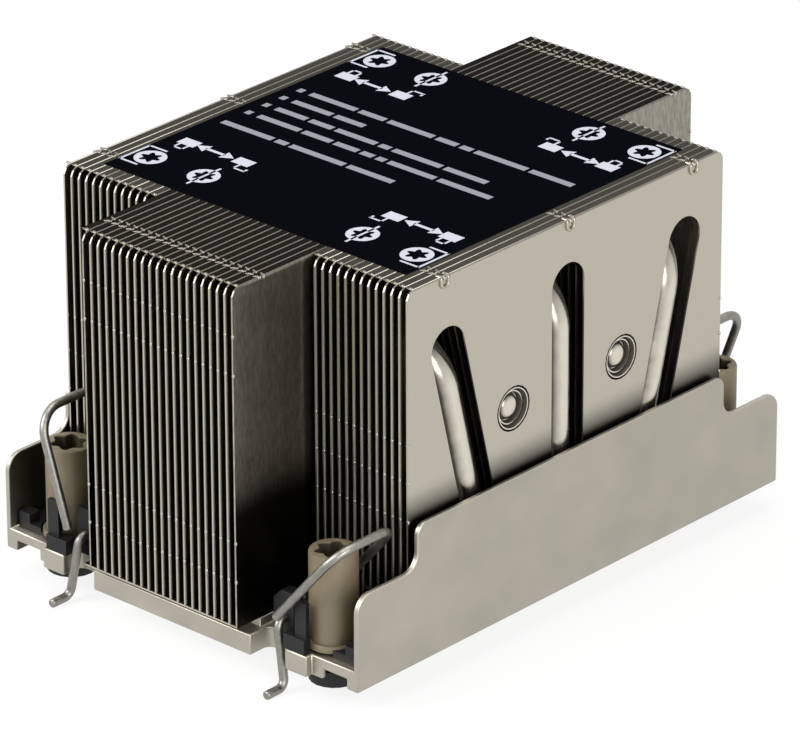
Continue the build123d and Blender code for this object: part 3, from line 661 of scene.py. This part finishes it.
class HEATSINK_OT_crimps(bpy.types.Operator):
    """Add the crimps that lock each fin to the next: dots on the front edges, rows and hooks on top"""
    bl_idname = "heatsink.crimps"
    bl_label = "Crimps"

    def execute(self, context):
        sizes = context.scene.heatsink_sizes
        top = sizes.fin_top
        material = rolled_fin_nickel(context.scene.heatsink_colours, "nickel_on_crimps", 1.0, painted_top_shade=0.0)
        long_x = [sizes.fin_pitch * (n - (sizes.long_fins - 1) / 2) for n in range(sizes.long_fins)]
        right_x = [long_x[-1] + sizes.fin_pitch * (n + 1) for n in range(sizes.side_fins)]
        side_x = right_x + [-x for x in right_x]
        bm = bmesh.new()
        for xs, half_length, heights in ((long_x, sizes.long_half, LONG_EDGE_ROWS),
                                         (side_x, sizes.side_half, SIDE_EDGE_ROWS)):
            for x in xs:
                for way in (-1, 1):
                    self.end_dots(bm, x, way * half_length, way, heights, top)
        to_piece(bm, "edge_crimps", "heatsink", material)
        bm = bmesh.new()
        rows = [(x, y) for x in long_x for y in LONG_TOP_ROWS]
        rows += [(x, y) for x in side_x if abs(x) > sizes.label_half_x for y in SIDE_TOP_ROWS]
        for x, y in rows:
            self.clasp(bm, x, y * MM, top)
        to_piece(bm, "top_crimps", "heatsink", material)
        bm = bmesh.new()
        # The outer faces of the outer sheets
        outer_x = right_x[-1] + 0.28 * MM
        for y in SIDE_TOP_ROWS:
            for way in (1, -1):
                self.hook(bm, way * outer_x, y * MM, top, way)
        to_piece(bm, "edge_hooks", "heatsink", material)
        return {"FINISHED"}

    def end_dots(self, bm, x, y, way, heights, top):
        """The crimps down one end of a fin, and the one on its fold near that end."""
        for z in heights:
            self.dot(bm, Vector((x + 0.05 * MM, y - way * 0.1 * MM, z * MM)), (0.25, 0.18, 0.3))
        self.dot(bm, Vector((x - 0.45 * MM, y - way * 1.55 * MM, top - 0.1 * MM)), (0.4, 0.22, 0.18))

    def dot(self, bm, centre, half):
        """A small raised crimp with softened edges; half sizes in millimetres."""
        half = Vector(half) * MM
        verts = add_block(bm, centre - half, centre + half)
        edges = list({edge for vert in verts for edge in vert.link_edges})
        round_off(bm, edges, 0.08 * MM, segments=1)

    def clasp(self, bm, x, y, top):
        """Two bent tongues that cross from one folded top into the next."""
        for way in (-1, 1):
            start = Vector((x - 0.8 * MM, y + way * 0.9 * MM, top - 0.16 * MM))
            end = Vector((x + 0.35 * MM, y + way * 0.3 * MM, top - 0.2 * MM))
            middle = (start + end) / 2
            middle.z = top - 0.05 * MM
            for ring in bent_rod(bm, [start, middle, end], [0.5 * MM], 0.22 * MM, sides=10, steps=3):
                close_end(bm, ring, 0)
            self.dot(bm, Vector((x + 0.1 * MM, y + way * 0.62 * MM, top - 0.12 * MM)), (0.2, 0.16, 0.25))

    def hook(self, bm, x, y, top, way):
        """A U-shaped tongue bent over the stack's top edge and down its side."""
        high, low = top - 0.1 * MM, top - 1.9 * MM
        near, far = y - 0.8 * MM, y + 0.8 * MM
        inward = x - way * 1.0 * MM
        corners = [Vector(place) for place in ((inward, near, high), (x, near, high), (x, near, low),
                                               (x, far, low), (x, far, high), (inward, far, high))]
        bends = [bend * MM for bend in (0.35, 0.78, 0.78, 0.35)]
        for ring in bent_rod(bm, corners, bends, 0.3 * MM, sides=10, steps=5):
            close_end(bm, ring, 0)
        self.dot(bm, Vector((x - way * 0.1 * MM, y, top - 0.35 * MM)), (0.3, 0.35, 0.3))


class HEATSINK_OT_label(bpy.types.Operator):
    """Lay the black film on the fins, with pale bars and simple shapes on it"""
    bl_idname = "heatsink.label"
    bl_label = "Label"

    def execute(self, context):
        sizes = context.scene.heatsink_sizes
        colours = context.scene.heatsink_colours
        top = sizes.fin_top
        self.low = top + FILM_THICKNESS * MM
        self.high = self.low + INK_THICKNESS * MM
        bm = bmesh.new()
        add_block(bm, Vector((-sizes.label_half_x, -sizes.label_half_y, top)),
                  Vector((sizes.label_half_x, sizes.label_half_y, self.low)))
        to_piece(bm, "label_film", "heatsink", black_film(colours), ["label"])
        bm = bmesh.new()
        for y, spans in LABEL_ROWS.items():
            for start, end in spans:
                self.slab(bm, start, end, y - ROW_HALF, y + ROW_HALF, 1, 1, 0)
        to_piece(bm, "label_rows", "heatsink", screen_ink("dim_screen_ink", colours.row_ink))
        bm = bmesh.new()
        for side_x in (-1, 1):
            for side_y in (-1, 1):
                self.corner_shapes(bm, side_x, side_y)
        to_piece(bm, "label_shapes", "heatsink", screen_ink("pale_screen_ink", colours.ink))
        return {"FINISHED"}

    def slab(self, bm, x0, x1, y0, y1, side_x, side_y, lift):
        """A flat bar of ink given in the back right corner's own sense."""
        xs = sorted((side_x * x0 * MM, side_x * x1 * MM))
        ys = sorted(((side_y * y0 + lift) * MM, (side_y * y1 + lift) * MM))
        add_block(bm, Vector((xs[0], ys[0], self.low)), Vector((xs[1], ys[1], self.high)))

    def corner_shapes(self, bm, side_x, side_y):
        """A disc with a star cut out in a bracket, a struck disc, and two blocks with an arrow between."""
        for x, y in DISCS:
            self.starred_disc(bm, Vector((side_x * x * MM, (side_y * y + SHAPES_LIFT) * MM, self.low)))
        for x0, x1, y0, y1 in CORNER_BARS:
            self.slab(bm, x0, x1, y0, y1, side_x, side_y, SHAPES_LIFT)
        for x, way in ((20.1, -1), (25.3, 1)):
            centre = Vector((side_x * x * MM, (side_y * 18.8 + SHAPES_LIFT) * MM, self.low))
            self.arrow_head(bm, centre, side_x * way)

    def starred_disc(self, bm, centre):
        """A disc of ink with a six-pointed star left open in it."""
        outer = ring_at(bm, centre, Vector((0, 0, 1)), 2.75 * MM, sides=36)
        inner = ring_at(bm, centre, Vector((0, 0, 1)), 1.65 * MM, sides=36)
        for vert in {vert for edge in inner for vert in edge.verts}:
            spoke = vert.co - centre
            point = abs(math.cos(3 * math.atan2(spoke.y, spoke.x)))
            vert.co = centre + spoke * (0.72 + 0.5 * point ** 2)
        self.thicken(bm, bmesh.ops.bridge_loops(bm, edges=outer + inner)["faces"])

    def arrow_head(self, bm, centre, way):
        """A triangle of ink that points one way along X."""
        turn = Matrix.Rotation(0 if way > 0 else math.pi, 4, "Z") @ Matrix.Rotation(-math.pi / 2, 4, "Z")
        made = bmesh.ops.create_circle(bm, cap_ends=True, segments=3, radius=1.5 * MM,
                                       matrix=Matrix.Translation(centre) @ turn)["verts"]
        self.thicken(bm, list({face for vert in made for face in vert.link_faces}))

    def thicken(self, bm, faces):
        """Flat faces drawn up to the ink's top."""
        made = bmesh.ops.extrude_face_region(bm, geom=faces)["geom"]
        bmesh.ops.translate(bm, verts=[item for item in made if isinstance(item, bmesh.types.BMVert)],
                            vec=(0, 0, self.high - self.low))


class HEATSINK_OT_nuts(bpy.types.Operator):
    """Turn each tall nut with its six-lobe socket, and dress the ring below it"""
    bl_idname = "heatsink.nuts"
    bl_label = "Captive nuts"

    def execute(self, context):
        sizes = context.scene.heatsink_sizes
        colours = context.scene.heatsink_colours
        tan = natural_peek(colours, "natural_tan_peek", 1.0)
        # A dimmer copy of the tan plastic: painted shade inside the socket
        shaded = natural_peek(colours, "tan_peek_in_the_socket", 0.3)
        black = moulded_plastic("black_moulded_nylon_ring", colours.ring, 0.5)
        for corner in CORNERS:
            bm = self.barrel(sizes)
            bmesh.ops.translate(bm, verts=bm.verts[:], vec=(sizes.nut_x, -sizes.nut_y, 0))
            mirrored(bm, corner)
            node = f"nut_{corner}"
            barrel = to_piece(bm, f"{node}_barrel", f"{node}_body", tan, [node])
            barrel.data.materials.append(shaded)
            dress(f"nut_ring_{corner}", black)
        return {"FINISHED"}

    def barrel(self, sizes):
        """Rings from the bore's end, out round the barrel and down into the socket, then bridged."""
        radius, top = sizes.nut_radius / MM, sizes.nut_top / MM
        # Radius and height of each ring, and how far its six lobes reach, in millimetres
        rings = NUT_FOOT + [
            (radius, 5.1, 0), (radius, top - 0.35, 0), (radius - 0.1, top - 0.1, 0), (radius - 0.35, top, 0),
            (2.8, top, 0.4), (2.7, top - 0.22, 0.4), (2.68, top - SOCKET_DEPTH, 0.38)]
        bm = bmesh.new()
        loops = []
        for size, z, lobes in rings:
            edges = ring_at(bm, Vector((0, 0, z * MM)), Vector((0, 0, 1)), size * MM, sides=72)
            for vert in {vert for edge in edges for vert in edge.verts}:
                turn = math.atan2(vert.co.y, vert.co.x)
                vert.co.xy *= 1 + lobes * math.cos(6 * turn) / size
            loops.append(edges)
        for lower, upper in zip(loops, loops[1:]):
            bmesh.ops.bridge_loops(bm, edges=lower + upper)
        bmesh.ops.contextual_create(bm, geom=loops[0])
        bmesh.ops.contextual_create(bm, geom=loops[-1])
        self.shade_socket(bm, sizes.nut_top)
        return bm

    def shade_socket(self, bm, top):
        """The socket's walls and floor take the second, dimmer material, which is painted shade."""
        for face in bm.faces:
            middle = face.calc_center_median()
            below_rim = max(vert.co.z for vert in face.verts) < top - 0.1 * MM
            if below_rim and middle.z > top - 5 * MM:
                face.material_index = int(middle.xy.length < 3.15 * MM)


class HEATSINK_OT_wires(bpy.types.Operator):
    """Bend each round wire: toe, foot, axle, rear leg, top bar and front leg"""
    bl_idname = "heatsink.wires"
    bl_label = "Wires"

    def execute(self, context):
        sizes = context.scene.heatsink_sizes
        steel = drawn_steel(context.scene.heatsink_colours)
        for corner in CORNERS:
            bm = bmesh.new()
            lever, foot = LEVER_LEAN[corner], 180 - FOOT_LEAN[corner]
            # Distance from the axle, lean and place along Y of each bend
            corners = [self.point(sizes, *place) for place in (
                (11.4, foot, 56.2), (11.4, foot, 51.8), (0, 0, 51.8), (0, 0, 39.4), (22.0, lever, 39.4),
                (22.0, lever, 53.6), (2.0, lever, 53.6))]
            bends = [bend * MM for bend in (1.5, 1.5, 1.5, 4.6, 4.6)]
            for end in bent_rod(bm, corners, bends, sizes.wire_radius, sides=20, steps=10):
                close_end(bm, end, 0.3 * MM)
            mirrored(bm, corner)
            node = f"wire_{corner}"
            to_piece(bm, f"{node}_bail", f"{node}_body", steel, [node])
        return {"FINISHED"}

    def point(self, sizes, distance, lean, y):
        """A place at a distance from the axle, leaning outward by an angle, in the front right corner."""
        turn = math.radians(lean)
        return Vector((sizes.axle_x + distance * MM * math.sin(turn), -y * MM,
                       sizes.axle_z + distance * MM * math.cos(turn)))


class HEATSINK_OT_holders(bpy.types.Operator):
    """Give the wires' holders the finish of moulded plastic, with softened edges"""
    bl_idname = "heatsink.holders"
    bl_label = "Holders"

    def execute(self, context):
        material = moulded_plastic("dark_moulded_nylon", context.scene.heatsink_colours.holder, 0.46)
        for corner in CORNERS:
            node = f"wire_holder_{corner}"
            soften(node, f"{node}_moulding", material, 0.15 * MM)
        return {"FINISHED"}


class HEATSINK_OT_stage(bpy.types.Operator):
    """Set the pale floor, the backdrop, the lamps and the camera"""
    bl_idname = "heatsink.stage"
    bl_label = "Stage"

    def execute(self, context):
        scene = context.scene
        scene.view_settings.view_transform = "Standard"
        self.floor(scene)
        self.world(scene)
        self.lamp("window_lamp", (-0.45, -0.75, 0.65), (0.55, 0.55), 11.0)
        self.lamp("side_lamp", (0.85, -0.35, 0.35), (0.5, 0.6), 6.0)
        self.lamp("top_lamp", (0.0, 0.1, 0.9), (0.6, 0.6), 5.0)
        self.camera(scene)
        return {"FINISHED"}

    def floor(self, scene):
        """Pale paper that keeps the shadow, and shows white to the camera and in the metal."""
        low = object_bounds()[0]
        bm = bmesh.new()
        bmesh.ops.create_grid(bm, x_segments=1, y_segments=1, size=3.0,
                              matrix=Matrix.Translation((0, 0, low[2])))
        mesh = bpy.data.meshes.new("studio_floor")
        bm.to_mesh(mesh)
        bm.free()
        floor = bpy.data.objects.new("studio_floor", mesh)
        scene.collection.objects.link(floor)
        material = bpy.data.materials.new("pale_seamless_paper")
        material.use_nodes = True
        tree = material.node_tree
        tree.nodes.clear()
        paper = add_node(tree, "ShaderNodeBsdfDiffuse", {"Color": opaque(scene.heatsink_colours.floor)})
        glow = add_node(tree, "ShaderNodeEmission", {"Color": (1, 1, 1, 1), "Strength": 1.0})
        path = add_node(tree, "ShaderNodeLightPath")
        seen = add_node(tree, "ShaderNodeMath", {
            0: path.outputs["Is Camera Ray"], 1: path.outputs["Is Glossy Ray"]}, operation="MAXIMUM")
        share = add_node(tree, "ShaderNodeMath", {0: seen.outputs["Value"], 1: 0.86}, operation="MULTIPLY")
        mixed = add_node(tree, "ShaderNodeMixShader", {
            0: share.outputs["Value"], 1: paper.outputs["BSDF"], 2: glow.outputs["Emission"]})
        output = add_node(tree, "ShaderNodeOutputMaterial")
        tree.links.new(mixed.outputs["Shader"], output.inputs["Surface"])
        mesh.materials.append(material)
        floor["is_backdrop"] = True

    def world(self, scene):
        """White where the camera, metal or glass looks; dim where matt surfaces gather light."""
        world = bpy.data.worlds.new("white_studio")
        scene.world = world
        world.use_nodes = True
        tree = world.node_tree
        tree.nodes.clear()
        path = add_node(tree, "ShaderNodeLightPath")
        shiny = add_node(tree, "ShaderNodeMath", {
            0: path.outputs["Is Glossy Ray"], 1: path.outputs["Is Transmission Ray"]}, operation="MAXIMUM")
        seen = add_node(tree, "ShaderNodeMath", {
            0: path.outputs["Is Camera Ray"], 1: shiny.outputs["Value"]}, operation="MAXIMUM")
        soft = add_node(tree, "ShaderNodeBackground", {"Color": (1, 1, 1, 1), "Strength": 0.35})
        white = add_node(tree, "ShaderNodeBackground", {"Color": (1, 1, 1, 1), "Strength": 1.0})
        mixed = add_node(tree, "ShaderNodeMixShader", {
            0: seen.outputs["Value"], 1: soft.outputs["Background"], 2: white.outputs["Background"]})
        output = add_node(tree, "ShaderNodeOutputWorld")
        tree.links.new(mixed.outputs["Shader"], output.inputs["Surface"])

    def lamp(self, name, place, size, power):
        """A soft box that looks at the object's middle; sizes in metres, power in watts."""
        data = bpy.data.lights.new(name, "AREA")
        data.shape = "RECTANGLE"
        data.size, data.size_y = size
        data.energy = power
        lamp = bpy.data.objects.new(name, data)
        lamp.location = place
        lamp.rotation_euler = (Vector(place) - Vector((0, 0, 0.03))).to_track_quat("Z", "Y").to_euler()
        bpy.context.scene.collection.objects.link(lamp)

    def camera(self, scene):
        """The photograph's view: a long lens from the front right, a little above."""
        turn, rise, roll = math.radians(42.36), math.radians(24.86), math.radians(-0.22)
        back = Vector((math.sin(turn) * math.cos(rise), -math.cos(turn) * math.cos(rise), math.sin(rise)))
        right = Vector((math.cos(turn), math.sin(turn), 0))
        up = back.cross(right)
        tilted_right = right * math.cos(roll) + up * math.sin(roll)
        tilted_up = up * math.cos(roll) - right * math.sin(roll)
        aim = Vector((7.91, -7.40, 32.0)) * MM
        place = aim + back * 1105.73 * MM
        data = bpy.data.cameras.new("photo_camera")
        data.sensor_fit = "HORIZONTAL"
        data.sensor_width = 36.0
        data.lens = 307.25
        data.clip_end = 20.0
        camera = bpy.data.objects.new("photo_camera", data)
        axes = Matrix((tilted_right, tilted_up, back)).transposed().to_4x4()
        camera.matrix_world = Matrix.Translation(place) @ axes
        scene.collection.objects.link(camera)
        scene.camera = camera


class HEATSINK_PT_panel(bpy.types.Panel):
    """The heatsink's pieces and stage"""
    bl_idname = "HEATSINK_PT_panel"
    bl_label = "Heatsink"
    bl_space_type = "VIEW_3D"
    bl_region_type = "UI"
    bl_category = "Heatsink"

    def draw(self, context):
        for operator in OPERATORS:
            self.layout.operator(operator.bl_idname)
        for group in (context.scene.heatsink_sizes, context.scene.heatsink_colours):
            for name in group.__annotations__:
                self.layout.prop(group, name)


OPERATORS = (HEATSINK_OT_base, HEATSINK_OT_pipes, HEATSINK_OT_fins, HEATSINK_OT_crimps, HEATSINK_OT_label,
             HEATSINK_OT_nuts, HEATSINK_OT_wires, HEATSINK_OT_holders, HEATSINK_OT_stage)
CLASSES = (HeatsinkSizes, HeatsinkColours, *OPERATORS, HEATSINK_PT_panel)


def register():
    for item in CLASSES:
        bpy.utils.register_class(item)
    bpy.types.Scene.heatsink_sizes = PointerProperty(type=HeatsinkSizes)
    bpy.types.Scene.heatsink_colours = PointerProperty(type=HeatsinkColours)


def unregister():
    del bpy.types.Scene.heatsink_colours
    del bpy.types.Scene.heatsink_sizes
    for item in reversed(CLASSES):
        bpy.utils.unregister_class(item)


def main():
    register()
    for operator in OPERATORS:
        group, name = operator.bl_idname.split(".")
        getattr(getattr(bpy.ops, group), name)()


if __name__ == "__main__":
    main()
